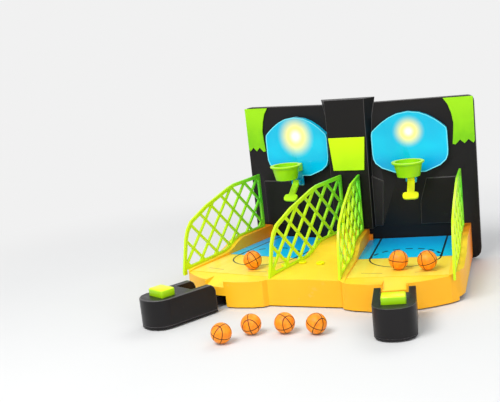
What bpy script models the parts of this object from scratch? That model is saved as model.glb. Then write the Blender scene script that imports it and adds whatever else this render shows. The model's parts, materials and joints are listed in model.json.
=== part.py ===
"""Two-player tabletop basketball shoot-out game, modelled in metres with +Z up.

The origin is on the table, under the middle of the whole set. +Y points to the back panel.
Each court has its own frame: local X runs across the court, local Y runs to the back.
"""
import math

import bmesh
import bpy
from mathutils import Matrix, Vector

MM = 0.001
GAP = 0.3 * MM                      # air between two pieces that touch

# courts
SPLAY = math.radians(10.0)          # each court turns outward by this at the front
COURT_X = 88.5 * MM                 # court centre line at the back edge
COURT_HALF = 69 * MM                # half the playing width
DECK_Z = 38.5 * MM                  # playing surface above the table
COURT_FRONT = 256 * MM              # back line to the nose of the front wall
BASE_BACK = 1.7 * MM                # back face of the base behind the back line
RAIL_WIDTH = 18.5 * MM              # side rail outside the playing width
RAIL_HIGH_Z = 57.5 * MM             # rail top at the back
RAIL_LOW_Z = 43 * MM                # rail top at the front
BASE_WALL = 2.6 * MM
FOOT_HEIGHT = 1.5 * MM
FOOT_RADIUS = 7 * MM
BOTTOM_THICK = 1.8 * MM
BRIDGE_FRONT = COURT_FRONT - 14 * MM        # front wall of the bridge, from the back line
SHEET_THICK = 0.5 * MM
SHEET_FRONT = COURT_FRONT - 37 * MM

# back panel
PANEL_FRONT = BASE_BACK + GAP       # front skin, in court frame
PANEL_THICK = 2.6 * MM
PANEL_RIM = 10 * MM                 # depth of the rim round the edge
PANEL_TOP_Z = 252 * MM
PANEL_TOP_HALF = 102.5 * MM         # from court centre line to the outer edge, top
PANEL_MID_HALF = 102 * MM           # the same below the flags
PANEL_MID_Z = 180 * MM
PANEL_LOW_HALF = 101 * MM           # the same at table level
COLUMN_TOP_Z = 260.5 * MM
COLUMN_FRONT = 24 * MM              # column front face, ahead of the back line
COLUMN_HALF = 31 * MM               # half width of the front face
COLUMN_FLARE = 13 * MM              # the column is this much wider at the top of its back
RELIEF = 3 * MM                     # raised fields on the lower panel
PLATE_THICK = 2.4 * MM

# hoops
HOOP_SHIFT = 3.5 * MM               # boards and baskets sit this far out from the court's middle
BOARD_HALF = 57.5 * MM
BOARD_TOP_Z = 235.5 * MM
BOARD_LOW_Z = 140 * MM
BOARD_DEEP = 7.6 * MM
BOARD_WALL = 2 * MM
HOOP_Z = 165.5 * MM                 # top of the basket flange
HOOP_OUT = 41 * MM                  # hoop centre ahead of the back line
HOOP_FLANGE = 24.5 * MM
HOOP_TOP = 21 * MM                  # outer radius under the flange
HOOP_LOW = 17 * MM                  # outer radius at the bottom
HOOP_TALL = 22.5 * MM
HOOP_WALL = 1.8 * MM
ARM_WIDTH = 11 * MM
PADDLE_WIDTH = 24 * MM
TRIGGER_Z = BOARD_LOW_Z - 6.5 * MM  # trigger hinge
TRIGGER_OUT = 14 * MM
TRIGGER_PIN = 1.2 * MM
LAMP_Z = 205 * MM
CELL_Z = 170 * MM                   # middle of the battery window

# fences
FENCE_U = COURT_HALF + 8 * MM
FENCE_THICK = 3.2 * MM
FENCE_BAR = 3.4 * MM
FENCE_CELL = 36 * MM
FENCE_TOP_Z = 145 * MM
FENCE_CLEAR = 1.3 * MM              # from the inner fences to the column
FENCE_BACK = (COLUMN_FRONT + FENCE_CLEAR - FENCE_U * math.sin(SPLAY)) / math.cos(SPLAY)
FENCE_FRONT = COURT_FRONT - 27 * MM
FENCE_EDGE = 5.4 * MM
PEG_DEEP = 6 * MM
PEG_HEAD_R = 6 * MM

# launchers
PIVOT_V = COURT_FRONT - 21 * MM     # swivel axis ahead of the back line
SWIVEL_R = 3 * MM
TONGUE_WIDTH = 18 * MM
TONGUE_TOP_Z = 16 * MM
SLOT_HALF = 17.8 * MM
CHUTE_DROP = 8 * MM
CHUTE_HALF = 16 * MM
CHUTE_BLOCK_Z = 26.2 * MM           # underside of the block that holds the chute and the pin
LAUNCH_HALF = 27 * MM
LAUNCH_REAR = 36 * MM               # ear ends ahead of the swivel axis
LAUNCH_NOSE = 139 * MM
LAUNCH_TOP_Z = 42 * MM
LAUNCH_LOW_Z = 1.2 * MM
LAUNCH_PLATE = 2.4 * MM
LAUNCH_WALL = 2.5 * MM
EAR = 9 * MM
CHANNEL_END = 71 * MM
BUTTON_X = 31 * MM
BUTTON_Y = 23 * MM
BUTTON_OUT = 108 * MM
BUTTON_TOP_Z = 52 * MM
STEM_R = 3 * MM
AXLE_OUT = BUTTON_OUT - 25 * MM
AXLE_Z = 15 * MM
AXLE_R = 1.5 * MM
CUP_OUT = 45 * MM
CUP_R = 15.5 * MM
REST_TURN = {1: math.radians(6.0), -1: math.radians(-13.0)}

BALL_R = 13.5 * MM
ROW_BALLS = [(-52, -395), (-28, -357), (15, -347), (58, -345)]      # mm on the table
DECK_BALLS = [(-1, 23, -190), (1, 39, -193), (1, -1, -186)]          # side, u, v in mm

SIDES = {1: "right", -1: "left"}


def clearScene():
    for item in list(bpy.data.objects):
        bpy.data.objects.remove(item, do_unlink=True)


def makeCollection(name):
    group = bpy.data.collections.new(name)
    bpy.context.scene.collection.children.link(group)
    return group


clearScene()
PARTS = makeCollection("basketball_shoot_out_game")
CUTTERS = makeCollection("cutters")
MATERIALS = {}


def material(name, colour, roughness, metallic=0.0):
    found = MATERIALS.get(name)
    if found is None:
        found = bpy.data.materials.new(name)
        found.use_nodes = True
        shader = found.node_tree.nodes["Principled BSDF"]
        shader.inputs["Base Color"].default_value = (*colour, 1.0)
        shader.inputs["Roughness"].default_value = roughness
        shader.inputs["Metallic"].default_value = metallic
        MATERIALS[name] = found
    return found


BASE_YELLOW = ("base_yellow", (0.95, 0.52, 0.06), 0.4)
SHEET_BLUE = ("sheet_blue", (0.02, 0.36, 0.75), 0.45)
PANEL_BLACK = ("panel_black", (0.02, 0.018, 0.018), 0.45)
LIME = ("lime", (0.5, 0.86, 0.01), 0.35)
FLAG_GREEN = ("flag_green", (0.25, 0.72, 0.02), 0.4)
BOARD_BLUE = ("board_blue", (0.0, 0.55, 0.87), 0.25)
STEEL = ("steel", (0.6, 0.6, 0.6), 0.3, 1.0)
RUBBER = ("rubber", (0.03, 0.03, 0.03), 0.8)
CLEAR = ("led_clear", (1.0, 0.95, 0.7), 0.1)
BOARD_GREEN = ("circuit_green", (0.02, 0.25, 0.08), 0.5)
BALL_ORANGE = ("ball_orange", (0.95, 0.25, 0.03), 0.5)


def makeFrame(name, location, turn=0.0, parent=None):
    frame = bpy.data.objects.new(name, None)
    frame.location = location
    frame.rotation_euler = (0.0, 0.0, turn)
    frame.parent = parent
    PARTS.objects.link(frame)
    return frame


# carries every piece; at first it lies between the courts, on their shared back line
ROOT = makeFrame("game_root", (0, 0, 0))


def link(item, look, parent, smooth=None):
    """Put a piece in the model, or a cutter (no look) with the cutters."""
    if look is None:
        CUTTERS.objects.link(item)
        item.hide_render = True
        item.display_type = "WIRE"
    else:
        PARTS.objects.link(item)
        item.data.materials.clear()
        item.data.materials.append(material(*look))
        if smooth is not None:
            item.data.shade_smooth()
            item.data.set_sharp_from_angle(angle=math.radians(smooth))
    item.parent = parent or ROOT
    bpy.context.view_layer.update()
    return item


def fromBmesh(name, bm, look, parent, smooth=None):
    mesh = bpy.data.meshes.new(name)
    bm.to_mesh(mesh)
    bm.free()
    return link(bpy.data.objects.new(name, mesh), look, parent, smooth)


def box(name, low, high, look=None, parent=None, bevel=0.0, segments=1):
    """A block between two corners."""
    bm = bmesh.new()
    bmesh.ops.create_cube(bm, size=1.0)
    size = [high[i] - low[i] for i in range(3)]
    middle = [(high[i] + low[i]) / 2 for i in range(3)]
    bmesh.ops.scale(bm, vec=size, verts=bm.verts)
    bmesh.ops.translate(bm, vec=middle, verts=bm.verts)
    item = fromBmesh(name, bm, look, parent)
    if bevel:
        mod = item.modifiers.new("edges", "BEVEL")
        mod.width = bevel
        mod.segments = segments
        mod.limit_method = "ANGLE"
    return item


def rod(name, radius, start, end, look=None, parent=None, sides=16):
    """A plain cylinder between two points."""
    a, b = Vector(start), Vector(end)
    bm = bmesh.new()
    bmesh.ops.create_cone(bm, cap_ends=True, segments=sides, radius1=radius,
                          radius2=radius, depth=(b - a).length)
    turn = Vector((0, 0, 1)).rotation_difference(b - a).to_matrix().to_4x4()
    bmesh.ops.transform(bm, matrix=Matrix.Translation((a + b) / 2) @ turn, verts=bm.verts)
    return fromBmesh(name, bm, look, parent, None if look is None else 40)


def turned(name, profile, centre, look, parent, steps=24):
    """A profile of (radius, height) pairs, outer side first from the top, spun about Z."""
    mesh = bpy.data.meshes.new(name)
    points = [(r, 0.0, z) for r, z in profile]
    closed = profile[0][0] > 1e-7 and profile[-1][0] > 1e-7
    edges = [(i, i + 1) for i in range(len(points) - 1)]
    if closed:
        edges.append((len(points) - 1, 0))
    mesh.from_pydata(points, edges, [])
    item = link(bpy.data.objects.new(name, mesh), look, parent)
    item.location = centre
    mod = item.modifiers.new("turn", "SCREW")
    mod.steps = mod.render_steps = steps
    mod.use_merge_vertices = True
    mod.merge_threshold = 0.00001
    mod.use_smooth_shade = True
    bpy.context.view_layer.update()
    return item


def rounded(points, radii, pieces=4):
    """Round the corners of an outline; radii holds one radius for each point."""
    result = []
    count = len(points)
    for i, radius in enumerate(radii):
        here = Vector(points[i])
        if not radius:
            result.append((here.x, here.y))
            continue
        back = (Vector(points[i - 1]) - here).normalized()
        ahead = (Vector(points[(i + 1) % count]) - here).normalized()
        half = back.angle(ahead) / 2
        reach = radius / math.tan(half)
        centre = here + (back + ahead).normalized() * radius / math.sin(half)
        start, end = here + back * reach - centre, here + ahead * reach - centre
        sweep = start.angle_signed(end)
        for step in range(pieces + 1):
            turn = -sweep * step / pieces
            spot = centre + Matrix.Rotation(turn, 2) @ start
            result.append((spot.x, spot.y))
    return result


def outline(name, loops, low, high, axis="Z", look=None, parent=None):
    """A flat outline with holes, extruded from low to high along an axis.

    Z: points are (x, y). Y: points are (x, z). X: points are (y, z).
    """
    curve = bpy.data.curves.new(name, "CURVE")
    curve.dimensions = "2D"
    curve.fill_mode = "BOTH"
    curve.extrude = (high - low) / 2
    for loop in loops:
        spline = curve.splines.new("POLY")
        spline.points.add(len(loop) - 1)
        for point, (a, b) in zip(spline.points, loop):
            point.co = (a, b, 0.0, 1.0)
        spline.use_cyclic_u = True
    source = bpy.data.objects.new(name + "_curve", curve)
    CUTTERS.objects.link(source)
    middle = (low + high) / 2
    if axis == "Z":
        place = Matrix.Translation((0, 0, middle))
    elif axis == "Y":
        place = Matrix(((1, 0, 0, 0), (0, 0, -1, middle), (0, 1, 0, 0), (0, 0, 0, 1)))
    else:
        place = Matrix(((0, 0, 1, middle), (1, 0, 0, 0), (0, 1, 0, 0), (0, 0, 0, 1)))
    bpy.context.view_layer.update()
    depsgraph = bpy.context.evaluated_depsgraph_get()
    mesh = bpy.data.meshes.new_from_object(source.evaluated_get(depsgraph))
    bpy.data.objects.remove(source, do_unlink=True)
    bm = bmesh.new()
    bm.from_mesh(mesh)
    bpy.data.meshes.remove(mesh)
    bmesh.ops.remove_doubles(bm, verts=bm.verts, dist=0.00001)
    bmesh.ops.transform(bm, matrix=place, verts=bm.verts)
    bmesh.ops.recalc_face_normals(bm, faces=bm.faces)
    return fromBmesh(name, bm, look, parent)


def boolean(item, other, operation="DIFFERENCE", solver="EXACT"):
    mod = item.modifiers.new(operation.lower(), "BOOLEAN")
    mod.operation = operation
    mod.solver = solver
    mod.object = other
    return item


def cut(item, *others):
    for other in others:
        boolean(item, other)
    return item


def join(item, *others):
    for other in others:
        boolean(item, other, "UNION")
    return item


def inset(points, distance):
    """Move each edge of a closed outline inward, by one distance or one for each edge."""
    steps = distance if isinstance(distance, list) else [distance] * len(points)
    area = sum(a[0] * b[1] - b[0] * a[1] for a, b in zip(points, points[1:] + points[:1]))
    turn = 1.0 if area > 0 else -1.0
    lines = []
    for a, b, step in zip(points, points[1:] + points[:1], steps):
        run = Vector((b[0] - a[0], b[1] - a[1])).normalized()
        lines.append((Vector(a) + Vector((-run.y, run.x)) * turn * step, run))
    result = []
    for (p, d), (q, e) in zip(lines[-1:] + lines[:-1], lines):
        cross = d.x * e.y - d.y * e.x
        if abs(cross) < 1e-6:
            result.append((q.x, q.y))
            continue
        reach = ((q.x - p.x) * e.y - (q.y - p.y) * e.x) / cross
        result.append((p.x + d.x * reach, p.y + d.y * reach))
    return result


def clip(points, inside):
    """Keep the part of an outline where inside(point) is positive (a half plane)."""
    kept = []
    for a, b in zip(points, points[1:] + points[:1]):
        da, db = inside(a), inside(b)
        if da >= 0:
            kept.append(a)
        if (da > 0 > db) or (da < 0 < db):
            t = da / (da - db)
            kept.append((a[0] + (b[0] - a[0]) * t, a[1] + (b[1] - a[1]) * t))
    return kept


def areaOf(points):
    return abs(sum(a[0] * b[1] - b[0] * a[1]
                   for a, b in zip(points, points[1:] + points[:1]))) / 2


def courtPoint(side, u, v):
    """World X and Y of a point in a court's frame."""
    c, s = math.cos(SPLAY), math.sin(SPLAY)
    return (side * COURT_X + u * c - side * v * s, side * u * s + v * c)


COURTS = {side: makeFrame("court_frame_" + name, (side * COURT_X, 0, 0), side * SPLAY, ROOT)
          for side, name in SIDES.items()}
HOOPS = {side: makeFrame("hoop_frame_" + name, (side * HOOP_SHIFT, 0, 0), 0, COURTS[side])
         for side, name in SIDES.items()}

# ---------------------------------------------------------------- base
baseSide = COURT_HALF + RAIL_WIDTH
# outer outline of one court, from the side round the front to the bridge:
# share of the court's half width, and mm behind the nose
frontSteps = [(1.0, 60), (0.944, 45), (0.82, 33), (0.615, 20.5), (0.38, 9.5), (0.1, 1.5),
              (-0.144, 0), (-0.39, 1.5), (-0.66, 8), (-0.82, 15.5)]


def courtEdge(side):
    points = [(side * baseSide, BASE_BACK)]
    points += [(side * share * baseSide, -(COURT_FRONT - back * MM)) for share, back in frontSteps]
    return [courtPoint(side, u, v) for u, v in points]


rightEdge = courtEdge(1)
bridgeX = rightEdge[-1][0] - 5 * MM
backMiddle = (0.0, courtPoint(1, -COURT_X / math.cos(SPLAY), BASE_BACK)[1] - 0.2 * MM)
baseOutline = [backMiddle] + rightEdge + [(bridgeX, -BRIDGE_FRONT), (-bridgeX, -BRIDGE_FRONT)]
baseOutline += [(-x, y) for x, y in reversed(rightEdge)]

base = outline("base_shell", [baseOutline], FOOT_HEIGHT, RAIL_HIGH_Z + 6 * MM, "Z", BASE_YELLOW)
FRONT_AIR = COURT_FRONT + 50 * MM          # cutters run this far ahead
railProfile = [(-84 * MM, RAIL_HIGH_Z), (-97 * MM, RAIL_HIGH_Z - 3.5 * MM),
               (-112 * MM, RAIL_LOW_Z + 4 * MM), (-125 * MM, RAIL_LOW_Z + 0.5 * MM),
               (-150 * MM, RAIL_LOW_Z - 0.5 * MM), (-COURT_FRONT + 46 * MM, RAIL_LOW_Z - 1.5 * MM),
               (-COURT_FRONT + 25 * MM, DECK_Z + 0.6 * MM),
               (-COURT_FRONT + 9 * MM, DECK_Z + 0.3 * MM), (-FRONT_AIR, DECK_Z + 0.25 * MM)]
aboveRail = [(60 * MM, RAIL_HIGH_Z)] + railProfile + [(-FRONT_AIR, 90 * MM), (60 * MM, 90 * MM)]


def railTop(v):
    """Height of the rail at a place along the court."""
    points = [(0.0, RAIL_HIGH_Z)] + railProfile
    for (v0, z0), (v1, z1) in zip(points, points[1:]):
        if v1 <= v <= v0:
            return z0 + (z1 - z0) * (v - v0) / (v1 - v0)
    return points[0][1]


fencePegs = [(-FENCE_FRONT, -FENCE_FRONT + 7 * MM), (-118 * MM, -110 * MM),
             (-FENCE_BACK - 9 * MM, -FENCE_BACK - 1 * MM)]
for side, name in SIDES.items():
    frame = COURTS[side]
    cut(base, outline("over_rail_" + name, [aboveRail], -130 * MM, 130 * MM, "X", None, frame))
for side, name in SIDES.items():
    frame = COURTS[side]
    boolean(base, box("over_deck_" + name, (-COURT_HALF, -FRONT_AIR, DECK_Z),
                      (COURT_HALF, 40 * MM, 120 * MM), None, frame), solver="MANIFOLD")
    # lugs at the back corners that the panel snaps behind
    for end in (-1, 1):
        a, b = sorted((end * (COURT_HALF - 5 * MM), end * (COURT_HALF + 1 * MM)))
        join(base, box("lug_%s_%d" % (name, end), (a, -6 * MM, DECK_Z - 1 * MM),
                       (b, -0.5 * MM, DECK_Z + 9 * MM), None, frame))
innerOutline = inset(baseOutline, BASE_WALL)
cavity = outline("base_cavity", [innerOutline], -5 * MM, DECK_Z - BASE_WALL, "Z")
cut(base, cavity)
for side, name in SIDES.items():
    frame = COURTS[side]
    for end in (-1, 1):
        a, b = COURT_HALF + BASE_WALL + 1 * MM, baseSide - BASE_WALL - 3 * MM
        a, b = sorted((end * a, end * b))
        cut(base, box("rail_cavity_%s_%d" % (name, end), (a, -82 * MM, 20 * MM),
                      (b, -3 * MM, RAIL_HIGH_Z - BASE_WALL), None, frame))
    # sockets for the fence pegs
    for end in (-1, 1):
        for index, (a, b) in enumerate(fencePegs):
            cut(base, box("peg_hole_%s_%d_%d" % (name, end, index),
                          (end * FENCE_U - FENCE_THICK / 2 - GAP, a - GAP,
                           railTop((a + b) / 2) - PEG_DEEP - 2 * MM),
                          (end * FENCE_U + FENCE_THICK / 2 + GAP, b + GAP, 90 * MM), None, frame))
    # slot for the launcher tongue, and the chute that feeds the launcher
    cut(base, box("tongue_slot_" + name, (-SLOT_HALF, -COURT_FRONT - 11 * MM, -1 * MM),
                  (SLOT_HALF, -COURT_FRONT + BASE_WALL + 12 * MM, TONGUE_TOP_Z + 1.5 * MM),
                  None, frame))
    join(base, box("chute_block_" + name, (-CHUTE_HALF - 2 * MM, -COURT_FRONT + 2 * MM, CHUTE_BLOCK_Z),
                   (CHUTE_HALF + 2 * MM, -PIVOT_V + 5 * MM, DECK_Z - 1 * MM), None, frame))
    chuteBack, chuteLip, chuteAir = (-COURT_FRONT + ahead * MM for ahead in (23, 2, -13))
    air = [(chuteBack, DECK_Z), (chuteBack, 90 * MM), (chuteAir, 90 * MM),
           (chuteAir, DECK_Z - CHUTE_DROP - 4 * MM), (chuteLip, DECK_Z - CHUTE_DROP)]
    cut(base, outline("chute_" + name, [air], -CHUTE_HALF, CHUTE_HALF, "X", None, frame))
    # the outer skirt stops short of the table at the side
    a, b = sorted((side * (baseSide - 7 * MM), side * (baseSide + 30 * MM)))
    cut(base, box("skirt_" + name, (a, -COURT_FRONT - 11 * MM, -5 * MM),
                                  (b, 60 * MM, 6.5 * MM), None, frame))

# bottom plate inside the walls, with the screws' feet
plateOutline = inset(baseOutline, BASE_WALL + 10 * MM)
bottom = outline("base_bottom", [plateOutline], FOOT_HEIGHT + GAP,
                 FOOT_HEIGHT + GAP + BOTTOM_THICK, "Z", PANEL_BLACK)
bottomTop = FOOT_HEIGHT + GAP + BOTTOM_THICK
footPlaces = [courtPoint(side, side * u * MM, v * MM) for side in (1, -1)
              for u, v in ((COURT_HALF / MM - 9, -22), (COURT_HALF / MM - 14, -196), (-44, -205))]
for index, (x, y) in enumerate(footPlaces):
    rod("foot_%d" % (index + 1), FOOT_RADIUS, (x, y, 0), (x, y, FOOT_HEIGHT),
        RUBBER, None, 20)

# ---------------------------------------------------------------- court sheets
for side, name in SIDES.items():
    sheet = [(-COURT_HALF + GAP, -SHEET_FRONT), (COURT_HALF - GAP, -SHEET_FRONT),
             (COURT_HALF - GAP, -8 * MM), (COURT_HALF - 6 * MM, -8 * MM),
             (COURT_HALF - 6 * MM, -0.5 * MM), (-COURT_HALF + 6 * MM, -0.5 * MM),
             (-COURT_HALF + 6 * MM, -8 * MM), (-COURT_HALF + GAP, -8 * MM)]
    outline("court_sheet_" + name, [sheet], DECK_Z + GAP, DECK_Z + GAP + SHEET_THICK, "Z",
            SHEET_BLUE, COURTS[side])

# ---------------------------------------------------------------- back panel
panelBack = PANEL_FRONT + PANEL_THICK
wingInner = COURT_X / math.cos(SPLAY) - 8 * MM


def panelEdge(z):
    """Half width of the panel, from the court's centre line, at a height."""
    if z >= PANEL_MID_Z:
        t = (z - PANEL_MID_Z) / (PANEL_TOP_Z - PANEL_MID_Z)
        return PANEL_MID_HALF + (PANEL_TOP_HALF - PANEL_MID_HALF) * t
    return PANEL_LOW_HALF + (PANEL_MID_HALF - PANEL_LOW_HALF) * z / PANEL_MID_Z


def mirrored(side, points):
    return [(side * a, b) for a, b in points]


panelLow = 1.8 * MM
columnBack = 5 * MM
columnShape = [(COLUMN_FLARE, COLUMN_TOP_Z), (COLUMN_FLARE * 0.5, COLUMN_TOP_Z - 34 * MM),
               (0.0, 150 * MM), (0.0, RAIL_HIGH_Z + 1 * MM)]
bm = bmesh.new()
loops = []
for depth, share in ((-COLUMN_FRONT, 0.1), (-columnBack, 1.0)):
    half = [(COLUMN_HALF + share * flare, z) for flare, z in columnShape]
    loops.append([bm.verts.new((x, depth, z))
                  for x, z in half + [(-x, z) for x, z in reversed(half)]])
for loop in loops:
    bm.faces.new(loop)
for i in range(len(loops[0])):
    bm.faces.new((loops[0][i - 1], loops[0][i], loops[1][i], loops[1][i - 1]))
bmesh.ops.triangulate(bm, faces=bm.faces)
bmesh.ops.recalc_face_normals(bm, faces=bm.faces)
panel = fromBmesh("back_panel", bm, PANEL_BLACK, None)
windowHalf, windowLow, windowHigh = 14 * MM, CELL_Z - 10.5 * MM, CELL_Z + 10.5 * MM
for side, name in SIDES.items():
    frame = COURTS[side]
    wing = rounded([(-wingInner, panelLow), (panelEdge(panelLow), panelLow),
                    (PANEL_MID_HALF, PANEL_MID_Z), (PANEL_TOP_HALF, PANEL_TOP_Z),
                    (-wingInner, PANEL_TOP_Z)], [0, 14 * MM, 0, 9 * MM, 0])
    skin = outline("wing_" + name, [mirrored(side, wing)], PANEL_FRONT,
                   PANEL_FRONT + PANEL_RIM, "Y", None, frame)
    cut(skin, outline("wing_inside_" + name, [mirrored(side, inset(wing, 2.2 * MM))],
                      panelBack, PANEL_FRONT + 2 * PANEL_RIM, "Y", None, frame))
    boolean(panel, skin, "UNION", "MANIFOLD")
    innerField = [(-76, 60), (-47, 60), (-41, 130), (-71, 145), (-76, 147)]
    outerField = [(13, 60), (76, 60), (76, 131), (25, 131), (14, 96)]
    for index, field in enumerate((innerField, outerField)):
        shape = [(side * u * MM, z * MM) for u, z in field]
        join(panel, outline("field_%s_%d" % (name, index), [shape], PANEL_FRONT - RELIEF,
                            PANEL_FRONT + 1 * MM, "Y", None, frame))
    cut(panel, box("battery_window_" + name, (-windowHalf, -20 * MM, windowLow),
                   (windowHalf, 20 * MM, windowHigh), None, HOOPS[side]))

plate = [(-29.5, 202.5), (29.5, 202.5), (25, 151.5), (-25, 151.5)]
outline("centre_plate", [[(x * MM, z * MM) for x, z in plate]],
        -COLUMN_FRONT - GAP - PLATE_THICK, -COLUMN_FRONT - GAP, "Y", LIME)

teeth = [(98.5, 180.5), (91.5, 186.5), (85.5, 180.5), (79, 186.5), (72, 179.5), (67.5, 180.5)]
for side, name in SIDES.items():
    flag = [(57, PANEL_TOP_Z / MM - 1.5), (PANEL_TOP_HALF / MM - 1, PANEL_TOP_Z / MM - 1.5)]
    flag += [(panelEdge(z * MM) / MM - 1.2, z) for z in (242, 212, 184)] + teeth
    flag += [(69.5, 199), (70.5, 213), (68, 228), (63.5, 241)]
    outline("corner_flag_" + name, [[(side * u * MM, z * MM) for u, z in flag]],
            PANEL_FRONT - GAP - 1.5 * MM, PANEL_FRONT - GAP, "Y", FLAG_GREEN, COURTS[side])

# ---------------------------------------------------------------- backboards
boardBack = PANEL_FRONT - GAP
boardFront = boardBack - BOARD_DEEP
shoulder = 29 * MM
arch = [(BOARD_HALF - 13 * MM, BOARD_LOW_Z + 11 * MM),
        (BOARD_HALF - 4 * MM, BOARD_LOW_Z + 18.5 * MM),
        (BOARD_HALF - 0.8 * MM, BOARD_LOW_Z + 26 * MM),
        (BOARD_HALF, BOARD_LOW_Z + 34 * MM), (BOARD_HALF, BOARD_TOP_Z - shoulder)]
archSteps = 7
for step in range(1, archSteps):
    turn = math.pi / 2 * step / archSteps
    arch.append((BOARD_HALF * math.cos(turn) ** 0.8,
                 BOARD_TOP_Z - shoulder + shoulder * math.sin(turn) ** 1.05))
boardOutline = [(22 * MM, BOARD_LOW_Z + 2 * MM)] + arch + [(0, BOARD_TOP_Z)]
boardOutline += [(-x, z) for x, z in reversed(boardOutline[:-1])]
for side, name in SIDES.items():
    frame = HOOPS[side]
    board = outline("backboard_" + name, [boardOutline], boardFront, boardBack, "Y",
                    BOARD_BLUE, frame)
    join(board, box("tab_" + name, (-7 * MM, boardFront, TRIGGER_Z - 7 * MM),
                    (7 * MM, boardFront + 3 * MM, BOARD_LOW_Z + 5 * MM), None, frame))
    for end in (-1, 1):
        a, b = sorted((end * (ARM_WIDTH / 2 + 2 * GAP), end * (ARM_WIDTH / 2 + 2.6 * MM)))
        join(board, box("ear_%s_%d" % (name, end), (a, -TRIGGER_OUT - 3 * MM, TRIGGER_Z - 3 * MM),
                        (b, boardFront + 1 * MM, TRIGGER_Z + 4 * MM), None, frame))
    cut(board, outline("board_hollow_" + name, [inset(boardOutline, BOARD_WALL)],
                       boardFront + BOARD_WALL, boardBack + 5 * MM, "Y", None, frame))
    hingeHole = rod("trigger_hole_" + name, TRIGGER_PIN + GAP,
                    (-20 * MM, -TRIGGER_OUT, TRIGGER_Z), (20 * MM, -TRIGGER_OUT, TRIGGER_Z),
                    None, frame, 12)
    cut(board, hingeHole)
    rod("trigger_pin_" + name, TRIGGER_PIN,
        (-ARM_WIDTH / 2 - 3 * MM, -TRIGGER_OUT, TRIGGER_Z),
        (ARM_WIDTH / 2 + 3 * MM, -TRIGGER_OUT, TRIGGER_Z), STEEL, frame, 12)

    # basket
    inner = HOOP_TOP - HOOP_WALL
    low = HOOP_Z - HOOP_TALL
    profile = [(HOOP_FLANGE, HOOP_Z), (HOOP_FLANGE, HOOP_Z - 2.2 * MM),
               (HOOP_TOP + 0.8 * MM, HOOP_Z - 3.6 * MM), (HOOP_TOP, HOOP_Z - 5 * MM),
               (HOOP_LOW, low), (HOOP_LOW - HOOP_WALL, low), (inner, HOOP_Z - 5 * MM),
               (inner, HOOP_Z)]
    basket = turned("basket_" + name, profile, (0, -HOOP_OUT, 0), LIME, frame, 24)
    join(basket, box("bracket_" + name, (-9 * MM, -HOOP_OUT + inner + 0.8 * MM, HOOP_Z - 15 * MM),
                     (9 * MM, boardFront - GAP, HOOP_Z - 2.5 * MM), None, frame))

    # trigger lever: a T-shaped plate that slants down and forward from its hinge
    hinge = makeFrame("trigger_axis_" + name, (0, -TRIGGER_OUT, TRIGGER_Z), 0, frame)
    a, p = ARM_WIDTH / 2, PADDLE_WIDTH / 2
    reach = 36.5 * MM
    tee = rounded([(-a, 2.3 * MM), (a, 2.3 * MM), (a, reach - 12 * MM), (p, reach - 12 * MM), (p, reach),
                   (-p, reach), (-p, reach - 12 * MM), (-a, reach - 12 * MM)],
                  [0, 0, 0, 4 * MM, 5 * MM, 5 * MM, 4 * MM, 0], 2)
    lever = outline("trigger_" + name, [tee], -1.5 * MM, 1.5 * MM, "Z", LIME, hinge)
    lever.rotation_euler = (math.radians(180 + 45), 0, 0)
    boolean(lever, rod("boss_" + name, TRIGGER_PIN + 2.2 * MM, (-a + GAP, 0, 0),
                       (a - GAP, 0, 0), None, hinge, 16), "UNION", "MANIFOLD")
    cut(lever, rod("boss_hole_" + name, TRIGGER_PIN + GAP, (-a - 5 * MM, 0, 0),
                   (a + 5 * MM, 0, 0), None, hinge, 12))

    # lamp, circuit and cell behind the board
    circuitBack = PANEL_FRONT - GAP
    circuitFront = circuitBack - 1.2 * MM
    box("circuit_" + name, (-17 * MM, circuitFront, LAMP_Z - 11 * MM),
        (17 * MM, circuitBack, LAMP_Z + 11 * MM), BOARD_GREEN, frame)
    ledLong = circuitFront - GAP - (boardFront + BOARD_WALL + GAP)
    led = turned("led_" + name, [(0, ledLong), (1.4 * MM, ledLong - 0.6 * MM),
                                 (2 * MM, ledLong - 2 * MM), (2 * MM, 0.6 * MM),
                                 (2.5 * MM, 0.6 * MM), (2.5 * MM, 0), (0, 0)],
                 (0, circuitFront - GAP, LAMP_Z), CLEAR, frame, 16)
    led.rotation_euler = (math.radians(90), 0, 0)
    holder = box("battery_holder_" + name,
                 (-windowHalf + GAP, boardFront + BOARD_WALL + GAP, windowLow + GAP),
                 (windowHalf - GAP, panelBack - GAP, windowHigh - GAP), PANEL_BLACK, frame)
    middleZ = (windowLow + windowHigh) / 2
    cut(holder, rod("cell_hole_" + name, 6.1 * MM, (0, panelBack - 6 * MM, middleZ),
                    (0, panelBack + 6 * MM, middleZ), None, frame, 24))
    rod("battery_cell_" + name, 5.8 * MM, (0, panelBack - 6 * MM + GAP, middleZ),
        (0, panelBack - GAP, middleZ), STEEL, frame, 24)
    box("battery_door_" + name, (-windowHalf - 4 * MM, panelBack + GAP, windowLow - 4 * MM),
        (windowHalf + 4 * MM, panelBack + GAP + 1.6 * MM, windowHigh + 4 * MM), PANEL_BLACK, frame)

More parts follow.
